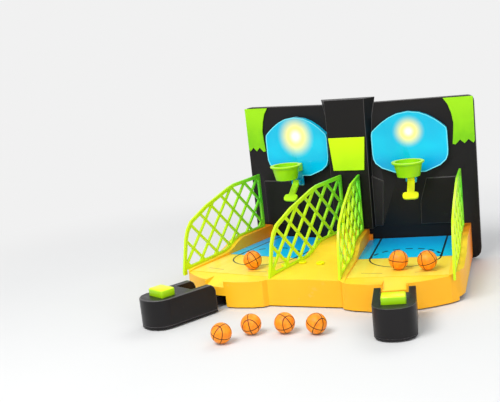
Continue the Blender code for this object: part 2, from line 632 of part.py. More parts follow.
# ---------------------------------------------------------------- fences
fenceTop = [(-FENCE_BACK, FENCE_TOP_Z)]
fenceTop += [(-FENCE_FRONT + back * MM, FENCE_TOP_Z - fall * MM) for back, fall in
             ((145, 1), (128, 4), (69, 19.5), (29, 35), (19, 45), (12, 59))]
fenceLow = [(v, z + GAP) for v, z in reversed(railProfile) if v > -FENCE_FRONT]
fenceShape = fenceTop + [(-FENCE_FRONT, railTop(-FENCE_FRONT) + GAP)] + fenceLow
fenceShape += [(-FENCE_BACK, RAIL_HIGH_Z + GAP)]
topCount, lowCount = len(fenceTop), len(fenceLow)
edgeWidths = [FENCE_EDGE] * topCount + [3.6 * MM] * (lowCount + 1) + [FENCE_EDGE]
fenceHole = inset(fenceShape, edgeWidths)
halfCell = FENCE_CELL / 2
open_ = halfCell - FENCE_BAR / 2 * math.sqrt(2)
cells = []
for row in range(-1, 8):
    for column in range(-8, 2):
        cv = -FENCE_BACK - FENCE_EDGE - 2 * MM + column * FENCE_CELL + (row % 2) * halfCell
        cz = 50 * MM + row * halfCell
        cell = fenceHole
        for sv, sz in ((1, 1), (1, -1), (-1, 1), (-1, -1)):
            cell = clip(cell, lambda q, sv=sv, sz=sz: open_ - sv * (q[0] - cv) - sz * (q[1] - cz))
            if len(cell) < 3:
                break
        if len(cell) >= 3 and areaOf(cell) > 12 * MM * MM:
            cells.append(cell)
withPegs = []
for a, b in zip(fenceShape, fenceShape[1:] + fenceShape[:1]):
    withPegs.append(a)
    if a in fenceLow or a == fenceShape[topCount]:
        for low, high in fencePegs:
            if a[0] <= low and b[0] >= high:
                slope = (b[1] - a[1]) / max(b[0] - a[0], 1e-9)
                for v, down in ((low, 0), (low, 1), (high, 1), (high, 0)):
                    z = a[1] + (v - a[0]) * slope
                    withPegs.append((v, z if not down else railTop((low + high) / 2) - PEG_DEEP))
cleaned = [p for i, p in enumerate(withPegs)
           if (Vector(p) - Vector(withPegs[i - 1])).length > 0.01 * MM]
for index, (side, end) in enumerate(((-1, -1), (-1, 1), (1, -1), (1, 1))):
    middle = end * FENCE_U
    outline("fence_%d" % (index + 1), [cleaned] + cells, middle - FENCE_THICK / 2,
            middle + FENCE_THICK / 2, "X", LIME, COURTS[side])

# round peg heads beside the second fence: one on the court, two on the bridge
sheetTop = DECK_Z + GAP + SHEET_THICK
for index, (u, v) in enumerate(((61.5, -164), (86, -155), (116, -154))):
    x, y = courtPoint(-1, u * MM, v * MM)
    low = (sheetTop if u * MM < COURT_HALF else railTop(v * MM)) + GAP
    rod("peg_%d" % (index + 1), PEG_HEAD_R, (x, y, low), (x, y, low + 3 * MM), LIME, None, 20)

# ---------------------------------------------------------------- launchers
noseRight = [(LAUNCH_HALF, -LAUNCH_NOSE + 23 * MM), (LAUNCH_HALF - 3 * MM, -LAUNCH_NOSE + 12 * MM),
             (LAUNCH_HALF - 10 * MM, -LAUNCH_NOSE + 4.5 * MM),
             (LAUNCH_HALF - 19 * MM, -LAUNCH_NOSE + 0.7 * MM)]
launchOutline = [(LAUNCH_HALF, -LAUNCH_REAR)] + noseRight + [(0, -LAUNCH_NOSE)]
launchOutline += [(-x, y) for x, y in reversed(noseRight)] + [(-LAUNCH_HALF, -LAUNCH_REAR)]
channelHalf = LAUNCH_HALF - EAR
hollowOutline = [(channelHalf, 0)] + inset(launchOutline, LAUNCH_WALL)[3:-3] + [(-channelHalf, 0)]
hollowOutline = [(channelHalf, 0), (channelHalf, -LAUNCH_NOSE + 20 * MM)] + \
    [(x, y) for x, y in inset(launchOutline, LAUNCH_WALL) if abs(x) < channelHalf - 0.5 * MM] + \
    [(-channelHalf, -LAUNCH_NOSE + 20 * MM), (-channelHalf, 0)]
plateTop = LAUNCH_LOW_Z + LAUNCH_PLATE
for side, name in SIDES.items():
    swivel = makeFrame("swivel_axis_" + name, (0, -PIVOT_V, 0), REST_TURN[side], COURTS[side])
    housing = outline("launcher_housing_" + name, [launchOutline], plateTop + GAP, LAUNCH_TOP_Z,
                      "Z", PANEL_BLACK, swivel)
    cut(housing, outline("launcher_hollow_" + name, [hollowOutline], -5 * MM,
                         LAUNCH_TOP_Z - LAUNCH_WALL, "Z", None, swivel))
    cut(housing, box("channel_" + name, (-channelHalf, -CHANNEL_END, -5 * MM),
                     (channelHalf, 0, LAUNCH_TOP_Z + 20 * MM), None, swivel))
    cut(housing, box("button_hole_" + name,
                     (-BUTTON_X / 2 - GAP, -BUTTON_OUT - BUTTON_Y / 2 - GAP, 20 * MM),
                     (BUTTON_X / 2 + GAP, -BUTTON_OUT + BUTTON_Y / 2 + GAP, 80 * MM), None, swivel))
    for end in (-1, 1):
        a, b = sorted((end * (channelHalf + LAUNCH_WALL), end * (LAUNCH_HALF - LAUNCH_WALL)))
        cut(housing, box("ear_pocket_%s_%d" % (name, end), (a, -LAUNCH_NOSE + 26 * MM, -5 * MM),
                         (b, -LAUNCH_REAR - LAUNCH_WALL, LAUNCH_TOP_Z - 8 * MM), None, swivel))
    rear, top = -LAUNCH_REAR / MM, LAUNCH_TOP_Z / MM
    corner = [(rear + 5, top + 5), (rear + 5, top - 10), (rear, top - 10), (rear - 2.5, top - 4),
              (rear - 8, top), (rear - 8, top + 5)]
    cut(housing, outline("ear_round_" + name, [[(y * MM, z * MM) for y, z in corner]],
                         -40 * MM, 40 * MM, "X", None, swivel))

    plate_ = outline("launcher_plate_" + name, [launchOutline], LAUNCH_LOW_Z, plateTop, "Z",
                     PANEL_BLACK, swivel)
    tongueHalf = TONGUE_WIDTH / 2
    join(plate_, box("tongue_outer_" + name, (-tongueHalf, -LAUNCH_REAR + 0.3 * MM, LAUNCH_LOW_Z),
                     (tongueHalf, -22 * MM, TONGUE_TOP_Z), None, swivel))
    join(plate_, box("tongue_root_" + name, (-tongueHalf, -LAUNCH_REAR - 4 * MM, LAUNCH_LOW_Z),
                     (tongueHalf, -LAUNCH_REAR + 1 * MM, plateTop + 3 * MM), None, swivel))
    join(plate_, box("tongue_inner_" + name, (-tongueHalf, -23 * MM, bottomTop + 2 * GAP),
                     (tongueHalf, 9 * MM, TONGUE_TOP_Z), None, swivel))
    for end in (-1, 1):
        a, b = sorted((end * 9.5 * MM, end * 12.5 * MM))
        join(plate_, box("post_%s_%d" % (name, end), (a, -AXLE_OUT - 4 * MM, plateTop - 1 * MM),
                         (b, -AXLE_OUT + 4 * MM, AXLE_Z + 4 * MM), None, swivel))
    cut(plate_, rod("swivel_hole_" + name, SWIVEL_R + GAP, (0, 0, -5 * MM), (0, 0, 40 * MM),
                    None, swivel, 20))
    cut(plate_, rod("axle_hole_" + name, AXLE_R + GAP, (-20 * MM, -AXLE_OUT, AXLE_Z),
                    (20 * MM, -AXLE_OUT, AXLE_Z), None, swivel, 16))
    rod("swivel_pin_" + name, SWIVEL_R, (0, -PIVOT_V, bottomTop + GAP),
        (0, -PIVOT_V, CHUTE_BLOCK_Z - GAP), STEEL, COURTS[side], 20)
    rod("lever_axle_" + name, AXLE_R, (-13.5 * MM, -AXLE_OUT, AXLE_Z),
        (13.5 * MM, -AXLE_OUT, AXLE_Z), STEEL, swivel, 16)

    # throwing cup and its lever, hinged on the axle
    axis = makeFrame("cup_axis_" + name, (0, -AXLE_OUT, AXLE_Z), 0, swivel)
    cupY = AXLE_OUT - CUP_OUT
    dish = [(0, 3.4), (8, 4.4), (CUP_R / MM - 1.9, 11.5), (CUP_R / MM, 11.5),
            (CUP_R / MM - 1, 9), (9, 2.5), (0, 1.2)]
    cup = turned("launch_cup_" + name, [(r * MM, z * MM) for r, z in dish], (0, cupY, 0),
                 BASE_YELLOW, axis, 20)
    join(cup, box("cup_arm_" + name, (-5 * MM, -(BUTTON_OUT - AXLE_OUT) - STEM_R - cupY, -2.5 * MM),
                  (5 * MM, 0, 2 * MM), None, cup))
    join(cup, rod("cup_boss_" + name, 4 * MM, (-4.5 * MM, -cupY, 0), (4.5 * MM, -cupY, 0),
                  None, cup, 20))
    cut(cup, rod("cup_boss_hole_" + name, AXLE_R + GAP, (-30 * MM, -cupY, 0),
                 (30 * MM, -cupY, 0), None, cup, 16))

    # return spring, wound round the axle beside the lever
    wire = 0.4 * MM
    coil = bpy.data.curves.new("spring_curve_" + name, "CURVE")
    coil.dimensions = "3D"
    coil.bevel_depth = wire
    coil.bevel_resolution = 1
    coil.use_fill_caps = True
    turns, perTurn, pitch = 3, 10, 1.1 * MM
    spline = coil.splines.new("POLY")
    spline.points.add(turns * perTurn)
    for i in range(turns * perTurn + 1):
        turn = 2 * math.pi * i / perTurn
        spline.points[i].co = (5.6 * MM + pitch * i / perTurn, 2.7 * MM * math.cos(turn),
                               2.7 * MM * math.sin(turn), 1.0)
    source = bpy.data.objects.new("spring_source_" + name, coil)
    CUTTERS.objects.link(source)
    bpy.context.view_layer.update()
    mesh = bpy.data.meshes.new_from_object(
        source.evaluated_get(bpy.context.evaluated_depsgraph_get()))
    bpy.data.objects.remove(source, do_unlink=True)
    bm = bmesh.new()
    bm.from_mesh(mesh)
    bmesh.ops.remove_doubles(bm, verts=bm.verts, dist=0.00001)
    bmesh.ops.recalc_face_normals(bm, faces=bm.faces)
    fromBmesh("lever_spring_" + name, bm, STEEL, axis, 40)

    # push button with a stem that reaches the lever
    button = box("launch_button_" + name,
                 (-BUTTON_X / 2, -BUTTON_OUT - BUTTON_Y / 2, LAUNCH_TOP_Z - 4 * MM),
                 (BUTTON_X / 2, -BUTTON_OUT + BUTTON_Y / 2, BUTTON_TOP_Z), LIME, swivel,
                 2.5 * MM, 2)
    join(button, box("button_flange_" + name,
                     (-BUTTON_X / 2 - 1.5 * MM, -BUTTON_OUT - BUTTON_Y / 2 - 1.2 * MM,
                      LAUNCH_TOP_Z - LAUNCH_WALL - 4 * MM),
                     (BUTTON_X / 2 + 1.5 * MM, -BUTTON_OUT + BUTTON_Y / 2 + 1.2 * MM,
                      LAUNCH_TOP_Z - LAUNCH_WALL - GAP), None, swivel))
    join(button, rod("button_stem_" + name, STEM_R, (0, -BUTTON_OUT, AXLE_Z + 2 * MM + GAP),
                     (0, -BUTTON_OUT, LAUNCH_TOP_Z - 3 * MM), None, swivel, 16))

# ---------------------------------------------------------------- balls
ballPlaces = [(x * MM, y * MM, BALL_R) for x, y in ROW_BALLS]
for side, u, v in DECK_BALLS:
    x, y = courtPoint(side, u * MM, v * MM)
    ballPlaces.append((x, y, sheetTop + GAP + BALL_R))
for index, (x, y, z) in enumerate(ballPlaces):
    bm = bmesh.new()
    bmesh.ops.create_uvsphere(bm, u_segments=16, v_segments=10, radius=BALL_R)
    ball = fromBmesh("ball_%d" % (index + 1), bm, BALL_ORANGE, None, 60)
    ball.location = (x, y, z)

# bring the middle of the whole set, from front to back, to the origin
bpy.context.view_layer.update()
depsgraph = bpy.context.evaluated_depsgraph_get()
reachY = []
for item in PARTS.objects:
    if item.type == "MESH":
        solid = item.evaluated_get(depsgraph)
        reachY += [(solid.matrix_world @ vertex.co).y for vertex in solid.data.vertices]
ROOT.location = (0, -(min(reachY) + max(reachY)) / 2, 0)
bpy.context.view_layer.update()
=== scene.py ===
import bpy
import bmesh
import json
import math
import random
from mathutils import Matrix, Vector, Euler

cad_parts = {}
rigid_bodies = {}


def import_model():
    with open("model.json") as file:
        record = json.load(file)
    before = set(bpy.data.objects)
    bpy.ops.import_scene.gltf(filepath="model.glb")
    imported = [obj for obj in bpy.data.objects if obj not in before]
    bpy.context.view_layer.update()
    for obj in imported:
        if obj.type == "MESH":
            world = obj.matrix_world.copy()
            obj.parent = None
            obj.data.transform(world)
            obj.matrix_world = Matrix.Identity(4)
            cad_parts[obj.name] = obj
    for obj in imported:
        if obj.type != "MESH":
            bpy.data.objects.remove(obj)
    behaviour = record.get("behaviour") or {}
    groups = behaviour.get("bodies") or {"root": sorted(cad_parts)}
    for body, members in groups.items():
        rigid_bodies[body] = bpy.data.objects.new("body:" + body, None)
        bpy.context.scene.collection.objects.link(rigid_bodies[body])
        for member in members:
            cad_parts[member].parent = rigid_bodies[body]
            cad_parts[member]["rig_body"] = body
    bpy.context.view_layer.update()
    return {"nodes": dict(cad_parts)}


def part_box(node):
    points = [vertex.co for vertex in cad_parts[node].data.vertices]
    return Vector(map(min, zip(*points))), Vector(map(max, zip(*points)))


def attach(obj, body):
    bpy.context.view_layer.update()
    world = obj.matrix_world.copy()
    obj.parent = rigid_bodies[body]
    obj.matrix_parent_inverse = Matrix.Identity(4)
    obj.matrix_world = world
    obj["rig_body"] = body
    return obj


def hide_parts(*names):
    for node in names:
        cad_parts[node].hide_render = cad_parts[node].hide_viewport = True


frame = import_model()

nodes = frame["nodes"]
scene = bpy.context.scene
print("frame loaded:", len(nodes), "nodes")

# where the two courts stand: middle line at the back, turn, and the back line itself
court = {"x": 0.0885, "turn": math.radians(10.0), "backLine": 0.18945}
sides = {"right": 1, "left": -1}


# the way a court's board faces
def boardFront(side):
    return Vector((side * math.sin(court["turn"]), -math.cos(court["turn"]), 0))


# the court's own place: across it, away from its back line, and up
def courtHome(side):
    return Matrix.Translation((side * court["x"], court["backLine"], 0)) @ Matrix.Rotation(
        side * court["turn"], 4, "Z")


# colour written the usual way, made linear
def tone(code):
    parts = [int(code[i:i + 2], 16) / 255 for i in (0, 2, 4)]
    return [((c + 0.055) / 1.055) ** 2.4 if c > 0.04045 else c / 12.92 for c in parts] + [1.0]


# small helpers for building materials
def addNode(tree, kind, x=0, y=0, **settings):
    node = tree.nodes.new(kind)
    node.location = (x, y)
    for key, value in settings.items():
        setattr(node, key, value)
    return node


def feed(tree, socket, value):
    if isinstance(value, bpy.types.NodeSocket):
        tree.links.new(value, socket)
    else:
        socket.default_value = value


def maths(tree, operation, a, b=0.0, clamp=False):
    node = addNode(tree, "ShaderNodeMath", operation=operation, use_clamp=clamp)
    feed(tree, node.inputs[0], a)
    feed(tree, node.inputs[1], b)
    return node.outputs[0]


def multiply(tree, first, *others):
    for other in others:
        first = maths(tree, "MULTIPLY", first, other)
    return first


def lengthOf(tree, x, y):
    return maths(tree, "SQRT", maths(tree, "ADD", multiply(tree, x, x), multiply(tree, y, y)))


def spread(tree, value, low, high, start=0.0, end=1.0, smooth=False):
    node = addNode(tree, "ShaderNodeMapRange")
    if smooth:
        node.interpolation_type = "SMOOTHSTEP"
    for name, item in (("Value", value), ("From Min", low), ("From Max", high),
                       ("To Min", start), ("To Max", end)):
        feed(tree, node.inputs[name], item)
    return node.outputs[0]


def blendTones(tree, share, first, second):
    node = addNode(tree, "ShaderNodeMix", data_type="RGBA")
    feed(tree, node.inputs[0], share)
    feed(tree, node.inputs[6], first)
    feed(tree, node.inputs[7], second)
    return node.outputs[2]


def noiseOn(tree, place, scale, detail=3.0, rough=0.5):
    node = addNode(tree, "ShaderNodeTexNoise")
    feed(tree, node.inputs["Vector"], place)
    feed(tree, node.inputs["Scale"], scale)
    node.inputs["Detail"].default_value = detail
    node.inputs["Roughness"].default_value = rough
    return node.outputs["Fac"]


def objectPlace(tree):
    return addNode(tree, "ShaderNodeTexCoord", -1100, -300).outputs["Object"]


def stretchedPlace(tree, place, scale, turn=(0, 0, 0)):
    node = addNode(tree, "ShaderNodeMapping", -700, -500)
    feed(tree, node.inputs["Vector"], place)
    node.inputs["Scale"].default_value = scale
    node.inputs["Rotation"].default_value = turn
    return node.outputs[0]


def splitPlace(tree, place):
    node = addNode(tree, "ShaderNodeSeparateXYZ")
    feed(tree, node.inputs[0], place)
    return node.outputs["X"], node.outputs["Y"], node.outputs["Z"]


def startGroup(name, inputs, outputs):
    group = bpy.data.node_groups.new(name, "ShaderNodeTree")
    for label, kind, value in inputs:
        socket = group.interface.new_socket(label, in_out="INPUT", socket_type=kind)
        socket.default_value = value
    for label, kind in outputs:
        group.interface.new_socket(label, in_out="OUTPUT", socket_type=kind)
    given = addNode(group, "NodeGroupInput", -900).outputs
    return group, given, addNode(group, "NodeGroupOutput", 900).inputs


# moulded plastic: slow colour drift, a fine grain, and faint scuffs: their shape, where they
# show, and what they change
driftRange, grainRange = (0.35, 0.65), (0.3, 0.7)
scuffLook = {"stretch": (40, 220, 60), "turn": (0.3, 0.2, 0.7), "range": (0.62, 0.78),
             "paler": 0.25, "rougher": 0.2, "deeper": 0.4}


def makeMouldedGroup():
    group, given, result = startGroup("mouldedPlastic", [
        ("Tone", "NodeSocketColor", (0.8, 0.8, 0.8, 1)),
        ("Drift Tone", "NodeSocketColor", (0.7, 0.7, 0.7, 1)),
        ("Drift Scale", "NodeSocketFloat", 14.0), ("Grain Scale", "NodeSocketFloat", 900.0),
        ("Roughness Low", "NodeSocketFloat", 0.3), ("Roughness High", "NodeSocketFloat", 0.45),
        ("Scuffs", "NodeSocketFloat", 0.3)], [
        ("Colour", "NodeSocketColor"), ("Roughness", "NodeSocketFloat"), ("Height", "NodeSocketFloat")])
    look, place = scuffLook, objectPlace(group)
    drift = spread(group, noiseOn(group, place, given["Drift Scale"], 2.0), *driftRange, smooth=True)
    grain = noiseOn(group, place, given["Grain Scale"], 2.0)
    streaks = noiseOn(group, stretchedPlace(group, place, look["stretch"], look["turn"]), 1.0, 4.0, 0.7)
    scuff = spread(group, streaks, *look["range"], smooth=True)
    scuff = maths(group, "MULTIPLY", scuff, given["Scuffs"], clamp=True)
    mixed = blendTones(group, drift, given["Tone"], given["Drift Tone"])
    paler = multiply(group, scuff, look["paler"])
    feed(group, result["Colour"], blendTones(group, paler, mixed, (1, 1, 1, 1)))
    rough = spread(group, grain, *grainRange, given["Roughness Low"], given["Roughness High"])
    rougher = multiply(group, scuff, look["rougher"])
    feed(group, result["Roughness"], maths(group, "ADD", rough, rougher, clamp=True))
    deeper = multiply(group, scuff, look["deeper"])
    feed(group, result["Height"], maths(group, "SUBTRACT", grain, deeper))
    return group


# gradient between two tones along one direction of the piece
def makeFadeGroup():
    group, given, result = startGroup("toneFade", [
        ("Direction", "NodeSocketVector", (0, 0, 1)), ("Start", "NodeSocketFloat", 0.0),
        ("End", "NodeSocketFloat", 0.1), ("First Tone", "NodeSocketColor", (1, 1, 1, 1)),
        ("Second Tone", "NodeSocketColor", (0, 0, 0, 1))], [("Colour", "NodeSocketColor")])
    along = addNode(group, "ShaderNodeVectorMath", operation="DOT_PRODUCT")
    feed(group, along.inputs[0], objectPlace(group))
    feed(group, along.inputs[1], given["Direction"])
    share = spread(group, along.outputs["Value"], given["Start"], given["End"], smooth=True)
    feed(group, result["Colour"], blendTones(group, share, given["First Tone"], given["Second Tone"]))
    return group


# painted light: upward faces of one moulding are painted paler than its walls, as if lit from above
litTopRange = (0.2, 0.9)


def makeLitTopGroup():
    group, given, result = startGroup("paintedLitTop", [
        ("Top Tone", "NodeSocketColor", (1, 1, 1, 1)), ("Wall Tone", "NodeSocketColor", (0, 0, 0, 1))],
        [("Colour", "NodeSocketColor")])
    facing = addNode(group, "ShaderNodeTexCoord", -900, -300).outputs["Normal"]
    share = spread(group, splitPlace(group, facing)[2], *litTopRange, smooth=True)
    feed(group, result["Colour"], blendTones(group, share, given["Wall Tone"], given["Top Tone"]))
    return group


# soft light seen through a board, strongest at the lamp; edges as shares of its reach
glowEdges = {"core": (0.08, 0.42), "halo": (0.15, 1.0)}


def makeGlowGroup():
    group, given, result = startGroup("lampGlow", [
        ("Lamp Place", "NodeSocketVector", (0, 0, 0)), ("Reach", "NodeSocketFloat", 0.03)],
        [("Core", "NodeSocketFloat"), ("Halo", "NodeSocketFloat")])
    gap = addNode(group, "ShaderNodeVectorMath", operation="DISTANCE")
    feed(group, gap.inputs[0], objectPlace(group))
    feed(group, gap.inputs[1], given["Lamp Place"])
    share = maths(group, "DIVIDE", gap.outputs["Value"], given["Reach"])
    feed(group, result["Core"], spread(group, share, *glowEdges["core"], 1.0, 0.0, smooth=True))
    feed(group, result["Halo"], spread(group, share, *glowEdges["halo"], 1.0, 0.0, smooth=True))
    return group


# court lines: places and widths in metres, wide = times the line width, ink = strength
courtLines = {"blueDepth": 0.122, "keyHalf": 0.051, "width": 0.0019, "soft": 0.0004, "keyWide": 1.35,
              "edgeWide": 0.6, "edgeInk": 0.7, "dashWide": 1.9, "dashTurns": 17.0, "dashFrom": -0.25,
              "frontAhead": 0.10, "frontRadius": 0.303, "frontWide": 0.7, "frontInk": 0.75,
              "frontFrom": 0.022, "frontTo": 0.052}
courtField = {"woodStretch": (60, 7, 1), "woodRange": (0.35, 0.68), "blueRange": (0.01, 0.11)}


# the printed court: blue end zone, key lines, solid and broken arcs, front line
def makeCourtGroup():
    lines = courtLines
    group, given, result = startGroup("courtPrint", [
        ("Place", "NodeSocketVector", (0, 0, 0)), ("Blue", "NodeSocketColor", (0, 0, 1, 1)),
        ("Deep Blue", "NodeSocketColor", (0, 0, 0.5, 1)), ("Wood", "NodeSocketColor", (1, 0.6, 0, 1)),
        ("Wood Light", "NodeSocketColor", (1, 0.8, 0, 1)), ("Ink", "NodeSocketColor", (0, 0, 0, 1)),
        ("Blue Depth", "NodeSocketFloat", lines["blueDepth"]),
        ("Key Half", "NodeSocketFloat", lines["keyHalf"]),
        ("Line Width", "NodeSocketFloat", lines["width"])], [("Colour", "NodeSocketColor")])
    across, deep = splitPlace(group, given["Place"])[:2]

    def line(distance, wide=1.0):
        half = multiply(group, given["Line Width"], 0.5 * wide)
        return spread(group, maths(group, "ABSOLUTE", distance), half,
                      maths(group, "ADD", half, lines["soft"]), 1.0, 0.0, smooth=True)

    outward = maths(group, "ABSOLUTE", across)
    fromLine = maths(group, "ADD", deep, given["Blue Depth"])
    inBlue = maths(group, "GREATER_THAN", fromLine, 0.0)
    inFront = maths(group, "SUBTRACT", 1.0, inBlue)
    # the key's sides and the blue zone's edge
    keySides = line(maths(group, "SUBTRACT", outward, given["Key Half"]), lines["keyWide"])
    keySides = multiply(group, keySides, inBlue)
    blueEdge = multiply(group, line(fromLine, lines["edgeWide"]), lines["edgeInk"])
    # the circle: solid in front, broken in the blue
    fromCircle = maths(group, "SUBTRACT", lengthOf(group, across, fromLine), given["Key Half"])
    solidArc = multiply(group, line(fromCircle), inFront)
    angle = maths(group, "ARCTAN2", fromLine, across)
    wave = maths(group, "SINE", multiply(group, angle, lines["dashTurns"]))
    dashes = maths(group, "GREATER_THAN", wave, lines["dashFrom"])
    brokenArc = multiply(group, line(fromCircle, lines["dashWide"]), inBlue, dashes)
    # the two short arcs at the players' end
    farRadius = lengthOf(group, across, maths(group, "SUBTRACT", deep, lines["frontAhead"]))
    frontArc = line(maths(group, "SUBTRACT", farRadius, lines["frontRadius"]), lines["frontWide"])
    pastStart = maths(group, "GREATER_THAN", outward, lines["frontFrom"])
    beforeEnd = maths(group, "LESS_THAN", outward, lines["frontTo"])
    frontArc = multiply(group, frontArc, pastStart, beforeEnd, inFront, lines["frontInk"])
    ink = keySides
    for mask in (blueEdge, solidArc, brokenArc, frontArc):
        ink = maths(group, "MAXIMUM", ink, mask)
    # board grain and blue field below the ink
    grain = noiseOn(group, stretchedPlace(group, given["Place"], courtField["woodStretch"]), 1.0, 4.0)
    figure = spread(group, grain, *courtField["woodRange"], smooth=True)
    wood = blendTones(group, figure, given["Wood"], given["Wood Light"])
    blueShare = spread(group, fromLine, *courtField["blueRange"], smooth=True)
    blue = blendTones(group, blueShare, given["Blue"], given["Deep Blue"])
    field = blendTones(group, inBlue, wood, blue)
    feed(group, result["Colour"], blendTones(group, ink, field, given["Ink"]))
    return group


# ball surface, in ball radii: seam edge, curved seam's distance and bend, pebble scale and height
ballLook = {"seamWidth": 0.032, "seamSoft": 0.02, "curveAway": 0.42, "curveBend": 0.42,
            "pebbleScale": 22.0, "pebbleHeight": 0.3, "patchScale": 2.2, "patchRange": (0.3, 0.7),
            "rough": (0.42, 0.6)}


# seams and pebbles of a basketball, from the place stored on its own surface
def makeBallGroup():
    look = ballLook
    group, given, result = startGroup("ballSurface", [
        ("Seam Width", "NodeSocketFloat", look["seamWidth"]), ("Skin", "NodeSocketColor", (1, 0.3, 0, 1)),
        ("Skin Shade", "NodeSocketColor", (0.8, 0.15, 0, 1)), ("Seam", "NodeSocketColor", (0, 0, 0, 1))],
        [("Colour", "NodeSocketColor"), ("Height", "NodeSocketFloat"), ("Seam Mask", "NodeSocketFloat")])
    stored = addNode(group, "ShaderNodeAttribute", attribute_name="ballPlace").outputs["Vector"]
    x, y, z = splitPlace(group, stored)
    bend = maths(group, "ADD", look["curveAway"], multiply(group, x, x, look["curveBend"]))
    curved = maths(group, "SUBTRACT", maths(group, "ABSOLUTE", y), bend)
    outerEdge = maths(group, "ADD", given["Seam Width"], look["seamSoft"])
    seam = 0.0
    for distance in (x, z, curved):
        mask = spread(group, maths(group, "ABSOLUTE", distance), given["Seam Width"], outerEdge,
                      1.0, 0.0, smooth=True)
        seam = maths(group, "MAXIMUM", seam, mask)
    pebbles = addNode(group, "ShaderNodeTexVoronoi", feature="SMOOTH_F1")
    feed(group, pebbles.inputs["Vector"], stored)
    pebbles.inputs["Scale"].default_value = look["pebbleScale"]
    patches = noiseOn(group, stored, look["patchScale"], 3.0)
    patches = spread(group, patches, *look["patchRange"], smooth=True)
    skin = blendTones(group, patches, given["Skin"], given["Skin Shade"])
    feed(group, result["Colour"], blendTones(group, seam, skin, given["Seam"]))
    raised = maths(group, "SUBTRACT", 1.0, pebbles.outputs["Distance"])
    raised = multiply(group, raised, look["pebbleHeight"])
    feed(group, result["Height"], maths(group, "SUBTRACT", raised, seam))
    feed(group, result["Seam Mask"], seam)
    return group


mouldedGroup, fadeGroup, litTopGroup = makeMouldedGroup(), makeFadeGroup(), makeLitTopGroup()
glowGroup, courtGroup, ballGroup = makeGlowGroup(), makeCourtGroup(), makeBallGroup()
print("material groups made")


def useGroup(tree, group, **values):
    node = addNode(tree, "ShaderNodeGroup", -500, 0)
    node.node_tree = group
    for label, value in values.items():
        feed(tree, node.inputs[label.replace("_", " ")], value)
    return node.outputs


def startMaterial(name):
    made = bpy.data.materials.new(name)
    made.use_nodes = True
    return made, made.node_tree, made.node_tree.nodes["Principled BSDF"]


def setPlain(shader, **values):
    for label, value in values.items():
        shader.inputs[label.replace("_", " ")].default_value = value


def addBump(tree, shader, height, distance, strength):
    bump = addNode(tree, "ShaderNodeBump", -200, -300)
    bump.inputs["Strength"].default_value = strength
    bump.inputs["Distance"].default_value = distance
    feed(tree, bump.inputs["Height"], height)
    feed(tree, shader.inputs["Normal"], bump.outputs["Normal"])


# a moulded finish in two drifting tones; top gives the same two, painted paler, for upward
# faces as painted light from above, and fade is a direction, where it starts and ends, and the tone it
# ends in
def mouldedPlastic(name, main, drift, rough=(0.3, 0.42), grain=900.0, bump=0.00004, scuffs=0.25,
                   driftScale=14.0, coat=0.0, top=None, fade=None, specular=0.5):
    made, tree, shader = startMaterial(name)
    tones = [tone(main), tone(drift)]
    if top:
        tones = [useGroup(tree, litTopGroup, Top_Tone=tone(above), Wall_Tone=wall)["Colour"]
                 for above, wall in zip(top, tones)]
    if fade:
        direction, start, end, other = fade
        tones = [useGroup(tree, fadeGroup, Direction=direction, Start=start, End=end,
                          First_Tone=first, Second_Tone=tone(other))["Colour"] for first in tones]
    finish = useGroup(tree, mouldedGroup, Tone=tones[0], Drift_Tone=tones[1], Drift_Scale=driftScale,
                      Grain_Scale=grain, Roughness_Low=rough[0], Roughness_High=rough[1], Scuffs=scuffs)
    feed(tree, shader.inputs["Base Color"], finish["Colour"])
    feed(tree, shader.inputs["Roughness"], finish["Roughness"])
    setPlain(shader, Coat_Weight=coat, Coat_Roughness=0.12, Specular_IOR_Level=specular)
    addBump(tree, shader, finish["Height"], distance=bump, strength=0.5)
    return made


# plastics: name, main tone, drift tone, and how each differs from the plain finish
# the top tones given here paint upward faces paler: painted light from above
baseYellow = mouldedPlastic("goldenYellowPlastic", "FFC122", "FFB81E", rough=(0.36, 0.48),
                            top=("FFDA36", "FFD02C"), fade=((0, 1, 0), 0.09, 0.18, "FF8E10"),
                            driftScale=9.0, bump=0.00003, specular=0.3)
# a lighter tone for the rounded edges: a painted highlight along the base's edges
baseEdgeHighlight = mouldedPlastic("goldenYellowEdgeHighlight", "FFCE52", "FFC848", bump=0.00003, specular=0.3)
panelBlack = mouldedPlastic("satinBlackPlastic", "0B0909", "100D0D", rough=(0.4, 0.55), scuffs=0.04,
                            grain=1400.0, specular=0.25)
# a lighter tone for the rounded edges: a painted highlight along the panel's edges
panelEdgeHighlight = mouldedPlastic("satinBlackEdgeHighlight", "3A3636", "454040", rough=(0.3, 0.45), scuffs=0.1,
                           grain=1400.0)
launcherBlack = mouldedPlastic("launcherBlackPlastic", "110F10", "171516", rough=(0.32, 0.44),
                               scuffs=0.06, grain=1300.0, specular=0.25)
# a lighter tone for the rounded edges: a painted highlight along the launchers' edges
launcherEdgeHighlight = mouldedPlastic("launcherBlackEdgeHighlight", "4C4A4B", "585556", rough=(0.26, 0.4), scuffs=0.1,
                              grain=1300.0)
# painted light: the centre plate turns paler towards its top
plateLime = mouldedPlastic("centreLimePlastic", "B6E800", "AADF00", rough=(0.3, 0.4), scuffs=0.04,
                           fade=((0, 0, 1), 0.152, 0.203, "CCF000"), specular=0.25)
# paler top tone: painted light on the basket's upward faces
basketLime = mouldedPlastic("basketLimePlastic", "A2E40A", "90DC0E", rough=(0.28, 0.38), scuffs=0.06,
                            driftScale=30.0, top=("D8F60C", "CCF00A"), specular=0.35)
triggerTones = {"right": ("F0F000", "E2EC04"), "left": ("B4EC08", "A2E40C")}
triggerLime = {name: mouldedPlastic("triggerLimePlastic_" + name, *tones, rough=(0.28, 0.38),
                                    scuffs=0.06, driftScale=30.0, specular=0.3)
               for name, tones in triggerTones.items()}
